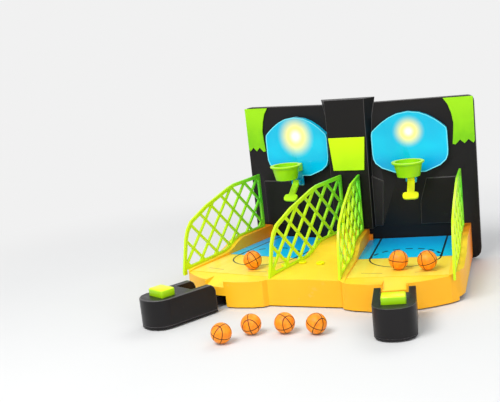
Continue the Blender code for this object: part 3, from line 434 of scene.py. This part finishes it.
# paler top tone: painted light on the button's upward face
buttonLime = mouldedPlastic("buttonLimePlastic", "A6DC06", "9AD608", rough=(0.27, 0.38),
                            top=("EAF81A", "E0F414"), scuffs=0.05, specular=0.35)
cupYellow = mouldedPlastic("cupYellowPlastic", "FFC02E", "FFB324", rough=(0.3, 0.4), scuffs=0.2)
flagGreen = mouldedPlastic("flagGreenSheet", "86D004", "78C406", rough=(0.38, 0.5), scuffs=0.03,
                           driftScale=40.0, fade=((0, 0, 1), 0.19, 0.245, "98DA0C"), specular=0.25)
# the board's border ring: a lighter cyan painted highlight
boardRimHighlight = mouldedPlastic("boardRimHighlightCyan", "78E6FC", "6CE0F8", rough=(0.2, 0.3), scuffs=0.05, coat=0.1)
circuitGreen = mouldedPlastic("circuitGreenLacquer", "0B5A2C", "0E6A34", rough=(0.25, 0.4), grain=500.0,
                              coat=0.6)
footRubber = mouldedPlastic("footRubber", "1A1A1A", "222222", rough=(0.7, 0.85), grain=700.0,
                            bump=0.0001, scuffs=0.4)

# a fence is green at its high back end and turns lime towards the players and the court
fenceLook = {"main": "58DE2C", "drift": "86E62A", "end": "CCF414", "lean": -0.25, "height": 0.09,
             "before": 0.01, "after": 0.14}


def makeFenceLime(name, side):
    look = fenceLook
    way = boardFront(side) + Vector((0, 0, look["lean"]))
    back = way.dot(Vector((side * court["x"], court["backLine"], look["height"])))
    return mouldedPlastic("fenceLime_" + name, look["main"], look["drift"], rough=(0.28, 0.4),
                          scuffs=0.05, driftScale=26.0, specular=0.35,
                          fade=(way, back - look["before"], back + look["after"], look["end"]))


steelLook = {"dark": "8C8F93", "light": "C9CCD0", "stretch": (60, 900, 900), "rough": (0.22, 0.4)}


def makeSteel():
    look = steelLook
    made, tree, shader = startMaterial("drawnSteel")
    drawn = noiseOn(tree, stretchedPlace(tree, objectPlace(tree), look["stretch"]), 1.0, 3.0)
    colour = blendTones(tree, drawn, tone(look["dark"]), tone(look["light"]))
    feed(tree, shader.inputs["Base Color"], colour)
    feed(tree, shader.inputs["Roughness"], spread(tree, drawn, *grainRange, *look["rough"]))
    setPlain(shader, Metallic=1.0)
    addBump(tree, shader, drawn, distance=0.00003, strength=0.4)
    return made


lampLook = {"resin": ("FFF6C8", "FFE88A"), "light": ("FFF2A0", "FFE060"), "strength": 2.0,
            "cloudScale": 300.0, "rough": (0.05, 0.2)}


def makeLampClear():
    look = lampLook
    made, tree, shader = startMaterial("lampClearResin")
    cloud = noiseOn(tree, objectPlace(tree), look["cloudScale"], 2.0)
    for label, tones in (("Base Color", look["resin"]), ("Emission Color", look["light"])):
        feed(tree, shader.inputs[label], blendTones(tree, cloud, tone(tones[0]), tone(tones[1])))
    feed(tree, shader.inputs["Roughness"], spread(tree, cloud, *grainRange, *look["rough"]))
    setPlain(shader, Emission_Strength=look["strength"])
    return made


# board tones from low to high, the low one a painted shade darkening the board's lower part, the lamp's
# reach through each board, and its light
boardLook = {"low": 0.142, "high": 0.185, "paintedShadeLowTone": "0094D4", "highTone": "00C8EC", "drift": "00BAE4",
             "reach": {"left": 0.036, "right": 0.026}, "lampAhead": 0.006, "halo": "FFE23A",
             "haloShare": 0.85, "core": "FFFCE0", "warmLight": "FFC81E", "coreLight": "FFF6B0",
             "strength": 0.6}
boardFinish = {"Drift_Scale": 16.0, "Grain_Scale": 1100.0, "Roughness_Low": 0.16,
               "Roughness_High": 0.26, "Scuffs": 0.12}


# translucent cyan board with the lamp showing through
def makeBoardBlue(name, side):
    look = boardLook
    made, tree, shader = startMaterial("boardCyan_" + name)
    low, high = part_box("led_" + name)
    lamp = (low + high) / 2 + boardFront(side) * look["lampAhead"]
    glow = useGroup(tree, glowGroup, Lamp_Place=lamp, Reach=look["reach"][name])
    # painted shade: the board darkens towards its bottom
    fade = useGroup(tree, fadeGroup, Direction=(0, 0, 1), Start=look["low"], End=look["high"],
                    First_Tone=tone(look["paintedShadeLowTone"]), Second_Tone=tone(look["highTone"]))
    finish = useGroup(tree, mouldedGroup, Tone=fade["Colour"], Drift_Tone=tone(look["drift"]),
                      **boardFinish)
    haloShare = multiply(tree, glow["Halo"], look["haloShare"])
    halo = blendTones(tree, haloShare, finish["Colour"], tone(look["halo"]))
    feed(tree, shader.inputs["Base Color"], blendTones(tree, glow["Core"], halo, tone(look["core"])))
    feed(tree, shader.inputs["Roughness"], finish["Roughness"])
    warm = blendTones(tree, glow["Halo"], (0, 0, 0, 1), tone(look["warmLight"]))
    light = blendTones(tree, glow["Core"], warm, tone(look["coreLight"]))
    feed(tree, shader.inputs["Emission Color"], light)
    setPlain(shader, Emission_Strength=look["strength"], Specular_IOR_Level=0.3, Coat_Weight=0.1,
             Coat_Roughness=0.1)
    addBump(tree, shader, finish["Height"], distance=0.00002, strength=0.4)
    return made


courtTones = {"Blue": "00C6FA", "Deep_Blue": "04A8EE", "Wood": "FFDC44", "Wood_Light": "FFE65C",
              "Ink": "14202E"}
courtFinish = {"Drift_Scale": 12.0, "Grain_Scale": 1500.0, "Roughness_Low": 0.3,
               "Roughness_High": 0.42, "Scuffs": 0.2}


def makeCourtSheet(name, side):
    made, tree, shader = startMaterial("courtPrintSheet_" + name)
    local = addNode(tree, "ShaderNodeMapping", -900, vector_type="TEXTURE")
    feed(tree, local.inputs["Vector"], objectPlace(tree))
    local.inputs["Location"].default_value = (side * court["x"], court["backLine"], 0)
    local.inputs["Rotation"].default_value = (0, 0, side * court["turn"])
    printed = useGroup(tree, courtGroup, Place=local.outputs[0], Blue_Depth=courtLines["blueDepth"],
                       Key_Half=courtLines["keyHalf"], Line_Width=courtLines["width"],
                       **{label: tone(code) for label, code in courtTones.items()})
    finish = useGroup(tree, mouldedGroup, Tone=printed["Colour"], Drift_Tone=printed["Colour"],
                      **courtFinish)
    feed(tree, shader.inputs["Base Color"], finish["Colour"])
    feed(tree, shader.inputs["Roughness"], finish["Roughness"])
    addBump(tree, shader, finish["Height"], distance=0.00002, strength=0.3)
    return made


ballTones = {"Skin": "FF9E22", "Skin_Shade": "F88410", "Seam": "3A1604"}


def makeBallOrange():
    made, tree, shader = startMaterial("ballOrangeRubber")
    skin = useGroup(tree, ballGroup, Seam_Width=ballLook["seamWidth"],
                    **{label: tone(code) for label, code in ballTones.items()})
    feed(tree, shader.inputs["Base Color"], skin["Colour"])
    feed(tree, shader.inputs["Roughness"], spread(tree, skin["Seam Mask"], 0.0, 1.0, *ballLook["rough"]))
    setPlain(shader, Specular_IOR_Level=0.3)
    addBump(tree, shader, skin["Height"], distance=0.00025, strength=0.7)
    return made


steel, lampClear, ballOrange = makeSteel(), makeLampClear(), makeBallOrange()
fenceLime = {name: makeFenceLime(name, side) for name, side in sides.items()}
boardBlue = {name: makeBoardBlue(name, side) for name, side in sides.items()}
courtSheet = {name: makeCourtSheet(name, side) for name, side in sides.items()}
print("materials made")


def paint(piece, material):
    piece.data.materials.clear()
    piece.data.materials.append(material)


def addObject(name, shape):
    mesh = bpy.data.meshes.new(name)
    shape.to_mesh(mesh)
    shape.free()
    item = bpy.data.objects.new(name, mesh)
    scene.collection.objects.link(item)
    return item


# turn a bmesh into a piece that rides on a body and stands for a CAD node
def finishPiece(name, shape, body, material, node, smooth=35.0):
    piece = addObject(name, shape)
    piece.data.materials.append(material)
    piece.data.shade_smooth()
    piece.data.set_sharp_from_angle(angle=math.radians(smooth))
    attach(piece, body)
    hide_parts(node)
    return piece


merging = {"gap": 0.00002, "flat": math.radians(0.6)}


def joinFlatFaces(shape):
    bmesh.ops.dissolve_limit(shape, angle_limit=merging["flat"], verts=shape.verts, edges=shape.edges,
                             delimit={"NORMAL"})


def softenEdges(piece, width, segments, angle=30.0):
    edge = piece.modifiers.new("softEdges", "BEVEL")
    edge.width = width
    edge.segments = segments
    edge.limit_method = "ANGLE"
    edge.angle_limit = math.radians(angle)
    edge.use_clamp_overlap = True
    edge.harden_normals = True
    edge.miter_outer = "MITER_ARC"


# a clean copy of a CAD node with rounded edges: corners merged and flat faces joined again;
# rounding is width in metres, segments and, where it isn't 30, the angle it starts at
# the edge highlight given paints the rounded edge faces a lighter tone as a painted highlight, and the
# rim material is a second, lighter one for faces marked 1, a painted highlight too
def softCopy(node, material, rounding=None, smooth=35.0, change=None, joinFlats=True, rimHighlight=None,
             edgeHighlight=None):
    shape = bmesh.new()
    shape.from_mesh(nodes[node].data)
    bmesh.ops.remove_doubles(shape, verts=shape.verts, dist=merging["gap"])
    if joinFlats:
        joinFlatFaces(shape)
    if change:
        change(shape)
    piece = finishPiece(node + "_finished", shape, nodes[node]["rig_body"], material, node, smooth)
    if rounding:
        softenEdges(piece, *rounding)
    if rimHighlight:
        piece.data.materials.append(rimHighlight)
    if edgeHighlight:
        piece.data.materials.append(edgeHighlight)
        piece.modifiers["softEdges"].material = 1
    return piece


# a thin border left round the largest face that looks one way, with the rest let in
def sinkFace(shape, way, trim):
    found = [face for face in shape.faces if face.normal.dot(way) > 0.95]
    largest = max(found, key=lambda face: face.calc_area())
    return bmesh.ops.inset_individual(shape, faces=[largest], thickness=trim["border"],
                                      depth=-trim["sink"])["faces"]


# base moulding
baseRounding = {"shell": (0.0012, 3), "bottom": (0.0004, 1), "foot": (0.0004, 2)}
softCopy("base_shell", baseYellow, baseRounding["shell"], edgeHighlight=baseEdgeHighlight)
softCopy("base_bottom", panelBlack, baseRounding["bottom"])
for i in range(1, 7):
    softCopy("foot_%d" % i, footRubber, baseRounding["foot"])
print("base done")

# back panel and its trims
panelSeam = {"inner": 0.031, "outer": 0.033653, "behind": 0.184447, "deep": 0.0006,
             "low": 0.146, "high": 0.153, "near": 0.0001}
backRounding = {"panel": (0.0006, 2), "plate": (0.0007, 2), "flag": (0.0004, 2)}
plateTrim = {"border": 0.0022, "sink": 0.0004}


# the slit between the column's back and each wing is closed
def closeSeam(shape):
    seam = panelSeam
    for vert in shape.verts:
        x, y, z = vert.co
        atColumn = abs(abs(x) - seam["inner"]) < seam["near"]
        if atColumn and y > seam["behind"] - seam["deep"] and seam["low"] < z < seam["high"]:
            vert.co = (math.copysign(seam["outer"], x), seam["behind"], z)
    bmesh.ops.remove_doubles(shape, verts=shape.verts, dist=seam["near"])
    joinFlatFaces(shape)
    bmesh.ops.dissolve_degenerate(shape, edges=shape.edges, dist=seam["near"])


# the panel's rounded edges, recess outlines included, are painted a lighter tone as a highlight
panel = softCopy("back_panel", panelBlack, backRounding["panel"], change=closeSeam, joinFlats=False,
                 edgeHighlight=panelEdgeHighlight)
panel.modifiers["softEdges"].use_clamp_overlap = False  # or the recesses lose their outlines
softCopy("centre_plate", plateLime, backRounding["plate"],
         change=lambda shape: sinkFace(shape, Vector((0, -1, 0)), plateTrim))
for name in sides:
    softCopy("corner_flag_" + name, flagGreen, backRounding["flag"])
print("back panel done")

# boards: border and sink of the face, the arc along the top, and the eased corners
boardTrim = {"border": 0.0014, "sink": 0.0005, "half": 0.0575, "top": 0.2355, "shoulder": 0.029,
             "bulge": 1.25, "flatten": 1.05, "corner": 0.005, "cornerFrom": 0.94, "cornerTall": 0.003}
basketShape = {"top": 0.1655, "flange": 0.0245, "flangeThick": 0.0022, "outer": 0.021, "low": 0.017,
               "tall": 0.0225, "wall": 0.0018, "neck": 0.0008, "neckTall": 0.0014, "lipTall": 0.005,
               "out": 0.041, "shift": 0.0035, "steps": 48, "rounding": (0.0005, 2, 40)}
bracketShape = {"wide": 0.018, "tall": 0.0125, "below": 0.00875, "back": -0.0062, "into": 0.0008,
                "edge": 0.0012, "segments": 3}
frontRounding = {"board": (0.0012, 3), "trigger": (0.0006, 2), "pin": (0.0002, 1),
                 "circuit": (0.0002, 1), "holder": (0.0004, 1), "cell": (0.0003, 2), "door": (0.0006, 2)}


# the board's top is one even arc from side to side
def roundBoard(shape, side):
    trim, home = boardTrim, courtHome(side)
    base = trim["top"] - trim["shoulder"]
    for vert in shape.verts:
        place = home.inverted() @ vert.co
        share = min(abs(place.x - side * basketShape["shift"]) / trim["half"], 1.0)
        full = math.sin(math.acos(share ** trim["bulge"])) ** trim["flatten"]
        if place.z > base + 0.0001 and full > 0.01:
            place.z = base + (place.z - base) * (1 - share ** 2) / full
        elif abs(place.z - base) < trim["cornerTall"] and share > trim["cornerFrom"]:
            place.z -= trim["corner"]
        vert.co = home @ place


def makeBoard(name, side):
    def shapeBoard(shape):
        roundBoard(shape, side)
        # the border ring round the front face takes the rim material, a painted highlight
        for ring in sinkFace(shape, boardFront(side), boardTrim):
            ring.material_index = 1

    softCopy("backboard_" + name, boardBlue[name], frontRounding["board"], change=shapeBoard,
             rimHighlight=boardRimHighlight)


# a round basket spun from its wall's outline, and the bracket that holds it to the board
def makeBasket(name, side):
    hoop, arm = basketShape, bracketShape
    top, inner = hoop["top"], hoop["outer"] - hoop["wall"]
    flangeLow = top - hoop["flangeThick"]
    profile = [(hoop["flange"], top), (hoop["flange"], flangeLow),
               (hoop["outer"] + hoop["neck"], flangeLow - hoop["neckTall"]),
               (hoop["outer"], top - hoop["lipTall"]), (hoop["low"], top - hoop["tall"]),
               (hoop["low"] - hoop["wall"], top - hoop["tall"]),
               (inner, top - hoop["lipTall"]), (inner, top)]
    shape = bmesh.new()
    corners = [shape.verts.new((r, 0, z)) for r, z in profile]
    edges = [shape.edges.new((corners[i - 1], corners[i])) for i in range(len(corners))]
    bmesh.ops.spin(shape, geom=corners + edges, cent=(0, 0, 0), axis=(0, 0, 1), angle=2 * math.pi,
                   steps=hoop["steps"], use_merge=True)
    bmesh.ops.remove_doubles(shape, verts=shape.verts, dist=0.00001)
    bmesh.ops.recalc_face_normals(shape, faces=shape.faces)
    bmesh.ops.translate(shape, vec=(side * hoop["shift"], -hoop["out"], 0), verts=shape.verts)
    bmesh.ops.transform(shape, matrix=courtHome(side), verts=shape.verts)
    piece = finishPiece("basket_%s_finished" % name, shape, "base", basketLime, "basket_" + name, 50)
    softenEdges(piece, *hoop["rounding"])

    near = inner + arm["into"] - hoop["out"]
    block = bmesh.new()
    bmesh.ops.create_cube(block, size=1.0)
    bmesh.ops.scale(block, vec=Vector((arm["wide"], arm["back"] - near, arm["tall"])), verts=block.verts)
    bmesh.ops.translate(block, verts=block.verts,
                        vec=Vector((side * hoop["shift"], (arm["back"] + near) / 2, top - arm["below"])))
    bmesh.ops.transform(block, matrix=courtHome(side), verts=block.verts)
    bmesh.ops.bevel(block, geom=block.edges[:], offset=arm["edge"], segments=arm["segments"],
                    profile=0.5, affect="EDGES", material=-1)
    finishPiece("basket_%s_bracket" % name, block, "base", basketLime, "basket_" + name, 40)


for name, side in sides.items():
    makeBoard(name, side)
    paint(nodes["court_sheet_" + name], courtSheet[name])
    makeBasket(name, side)
    softCopy("trigger_" + name, triggerLime[name], frontRounding["trigger"])
    softCopy("trigger_pin_" + name, steel, frontRounding["pin"])
    softCopy("circuit_" + name, circuitGreen, frontRounding["circuit"])
    softCopy("led_" + name, lampClear)
    softCopy("battery_holder_" + name, panelBlack, frontRounding["holder"])
    softCopy("battery_cell_" + name, steel, frontRounding["cell"])
    softCopy("battery_door_" + name, launcherBlack, frontRounding["door"], edgeHighlight=panelEdgeHighlight)
print("boards, courts and baskets done")

# fences and pegs
fenceRounding, pegRounding = (0.0008, 2, 40), (0.0008, 3)
fenceSides = {1: "left", 2: "left", 3: "right", 4: "right"}
for i, name in fenceSides.items():
    softCopy("fence_%d" % i, fenceLime[name], fenceRounding, 45, joinFlats=False)
for i in range(1, 4):
    softCopy("peg_%d" % i, triggerLime["right"], pegRounding)
print("fences and pegs done")

# launchers
launcherRounding = {"housing": (0.0012, 3), "plate": (0.0005, 2), "button": (0.0004, 2, 50),
                    "cup": (0.0004, 2, 50), "pin": (0.0003, 2), "axle": (0.0002, 1)}
for name in sides:
    for part in ("housing", "plate"):
        softCopy("launcher_%s_%s" % (part, name), launcherBlack, launcherRounding[part],
                 edgeHighlight=launcherEdgeHighlight)
    softCopy("launch_button_" + name, buttonLime, launcherRounding["button"], 40)
    softCopy("launch_cup_" + name, cupYellow, launcherRounding["cup"], 50)
    softCopy("swivel_pin_" + name, steel, launcherRounding["pin"])
    softCopy("lever_axle_" + name, steel, launcherRounding["axle"])
    softCopy("lever_spring_" + name, steel, smooth=60)
print("launchers done")

# balls, each turned its own way, up to these angles
ballShape = {"radius": 0.0135, "around": 48, "down": 24, "turns": (0.5, 0.6, 1.2)}
dice = random.Random(7)
for i in range(1, 8):
    node = "ball_%d" % i
    low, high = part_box(node)
    turn = Euler([dice.uniform(-most, most) for most in ballShape["turns"]]).to_matrix()
    shape = bmesh.new()
    bmesh.ops.create_uvsphere(shape, u_segments=ballShape["around"], v_segments=ballShape["down"],
                              radius=ballShape["radius"])
    stored = shape.verts.layers.float_vector.new("ballPlace")
    for vert in shape.verts:
        vert[stored] = turn @ (vert.co / ballShape["radius"])
    bmesh.ops.translate(shape, vec=(low + high) / 2, verts=shape.verts)
    finishPiece(node + "_finished", shape, nodes[node]["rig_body"], ballOrange, node, 180)
print("balls done")

# floor, background and lamps: lamps give place, aim, size and power
paleTone = (0.88, 0.88, 0.88, 1)
floorLook = {"half": 6.0, "below": 0.0005, "tones": ("D6D6D5", "DBDBDA"), "cloudScale": 3.0,
             "meltFrom": 0.42, "meltTo": 0.95}
skyLight = (0.55, 0.56, 0.58, 1)
lamps = {"keyLamp": ((-0.35, -1.25, 1.75), (0, 0, 0.06), (1.1, 0.9), 34),
         "fillLamp": ((1.4, -1.3, 0.9), (0, 0, 0.1), (1.2, 1.2), 10),
         "backLamp": ((0.3, 1.3, 1.5), (0, 0.1, 0.1), (1.4, 0.8), 8)}


# 1 for what is seen straight on, in a gloss or through glass, and 0 for light on the object
def plainlySeen(tree):
    rays = addNode(tree, "ShaderNodeLightPath").outputs
    mirrored = maths(tree, "MAXIMUM", rays["Is Camera Ray"], rays["Is Glossy Ray"])
    return maths(tree, "MAXIMUM", mirrored, rays["Is Transmission Ray"])


def makeFloor():
    look = floorLook
    shape = bmesh.new()
    bmesh.ops.create_grid(shape, x_segments=2, y_segments=2, size=look["half"])
    bmesh.ops.translate(shape, vec=(0, 0, -look["below"]), verts=shape.verts)
    floor = addObject("studioFloor", shape)
    made, tree, shader = startMaterial("paleFloor")
    place = objectPlace(tree)
    cloud = noiseOn(tree, place, look["cloudScale"], 3.0)
    colour = blendTones(tree, cloud, *[tone(code) for code in look["tones"]])
    feed(tree, shader.inputs["Base Color"], colour)
    setPlain(shader, Roughness=0.7, Specular_IOR_Level=0.2)
    # far from the set the floor melts into the background
    gap = addNode(tree, "ShaderNodeVectorMath", operation="LENGTH")
    feed(tree, gap.inputs[0], place)
    far = spread(tree, gap.outputs["Value"], look["meltFrom"], look["meltTo"], smooth=True)
    glow = addNode(tree, "ShaderNodeEmission")
    glow.inputs["Color"].default_value = paleTone
    both = addNode(tree, "ShaderNodeMixShader")
    feed(tree, both.inputs[0], multiply(tree, far, plainlySeen(tree)))
    feed(tree, both.inputs[1], shader.outputs[0])
    feed(tree, both.inputs[2], glow.outputs[0])
    feed(tree, tree.nodes["Material Output"].inputs["Surface"], both.outputs[0])
    paint(floor, made)


def makeWorld():
    world = bpy.data.worlds.new("paleStudio")
    scene.world = world
    world.use_nodes = True
    tree = world.node_tree
    background = tree.nodes["Background"].inputs
    feed(tree, background["Color"], blendTones(tree, plainlySeen(tree), skyLight, paleTone))
    background["Strength"].default_value = 1.0


def makeLamp(name, place, aim, size, power):
    light = bpy.data.lights.new(name, "AREA")
    light.shape = "RECTANGLE"
    light.size, light.size_y = size
    light.energy = power
    item = bpy.data.objects.new(name, light)
    item.location = place
    item.rotation_euler = (Vector(aim) - Vector(place)).to_track_quat("-Z", "Y").to_euler()
    scene.collection.objects.link(item)


makeFloor()
makeWorld()
for name, settings in lamps.items():
    makeLamp(name, *settings)
print("floor and lamps set")

view = {"place": (0.53296, -1.26217, 0.40331), "turn": (1.3521, 0.1004, 0.4111), "lens": 71.83,
        "sensor": 36.0, "shift": (-0.06, 0.06)}
cameraData = bpy.data.cameras.new("camera")
cameraData.sensor_width = view["sensor"]
cameraData.lens = view["lens"]
cameraData.shift_x, cameraData.shift_y = view["shift"]
camera = bpy.data.objects.new("camera", cameraData)
camera.location = view["place"]
camera.rotation_euler = view["turn"]
scene.collection.objects.link(camera)
scene.camera = camera
scene.view_settings.view_transform = "Standard"
print("camera set")
